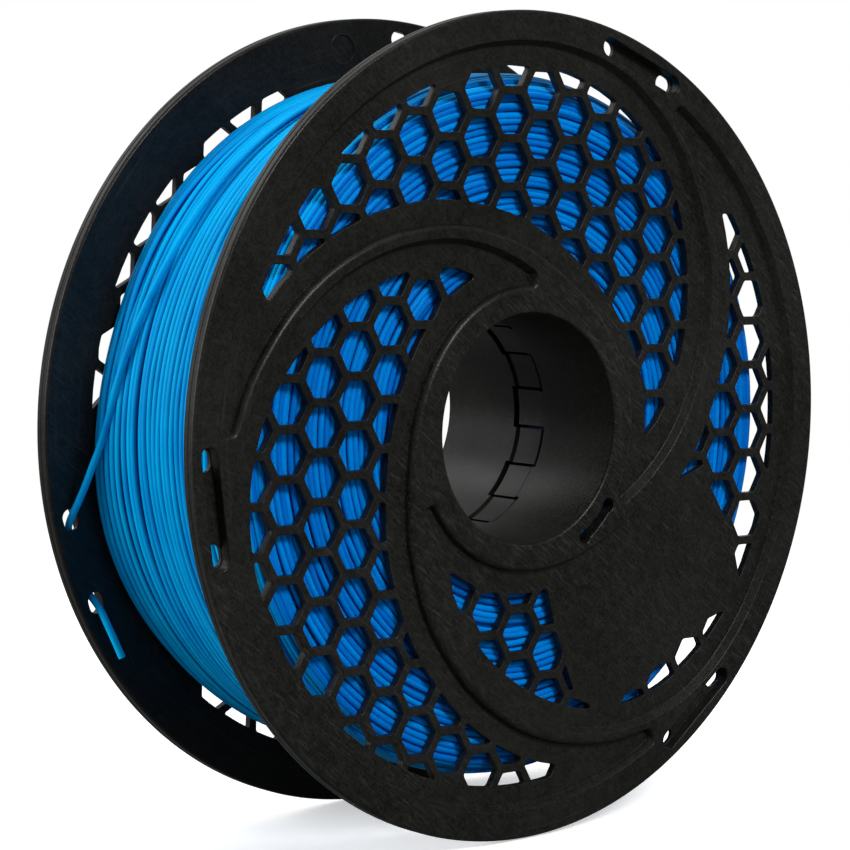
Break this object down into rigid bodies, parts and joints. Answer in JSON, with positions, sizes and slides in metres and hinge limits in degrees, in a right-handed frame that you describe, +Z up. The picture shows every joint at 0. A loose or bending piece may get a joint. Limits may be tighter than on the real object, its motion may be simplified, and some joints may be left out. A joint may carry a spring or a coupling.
{
  "type": "filament spool",
  "caption": "Two-part moulded plastic spool with honeycomb windows in swirling flange panels, wound with round filament whose loose end is parked through the rear flange.",
  "frame": {"origin": "centre of the spool: on the bore's axis, midway between the two outer flange faces", "axes": "+Y along the bore axis from the front flange to the rear flange, +Z up, +X to the right seen from the front"},
  "size_m": [0.2, 0.063, 0.2],
  "materials": {
    "front_half_plastic": "fine satin moulded black plastic",
    "rear_half_plastic": "fine satin moulded black plastic",
    "wound_filament": "smooth blue extruded plastic",
    "loose_filament": "smooth blue extruded plastic"
  },
  "bodies": {
    "rear_body": {"rear_flange_half": "rear_half_plastic", "filament_winding": "wound_filament", "filament_loose_end": "loose_filament"},
    "front_body": {"front_flange_half": "front_half_plastic"}
  },
  "joints": [
    {"name": "hub_snap_slide", "type": "slide", "parent": "rear_body", "child": "front_body", "axis": [0, -1, 0], "range_m": [0, 0.045]}
  ]
}
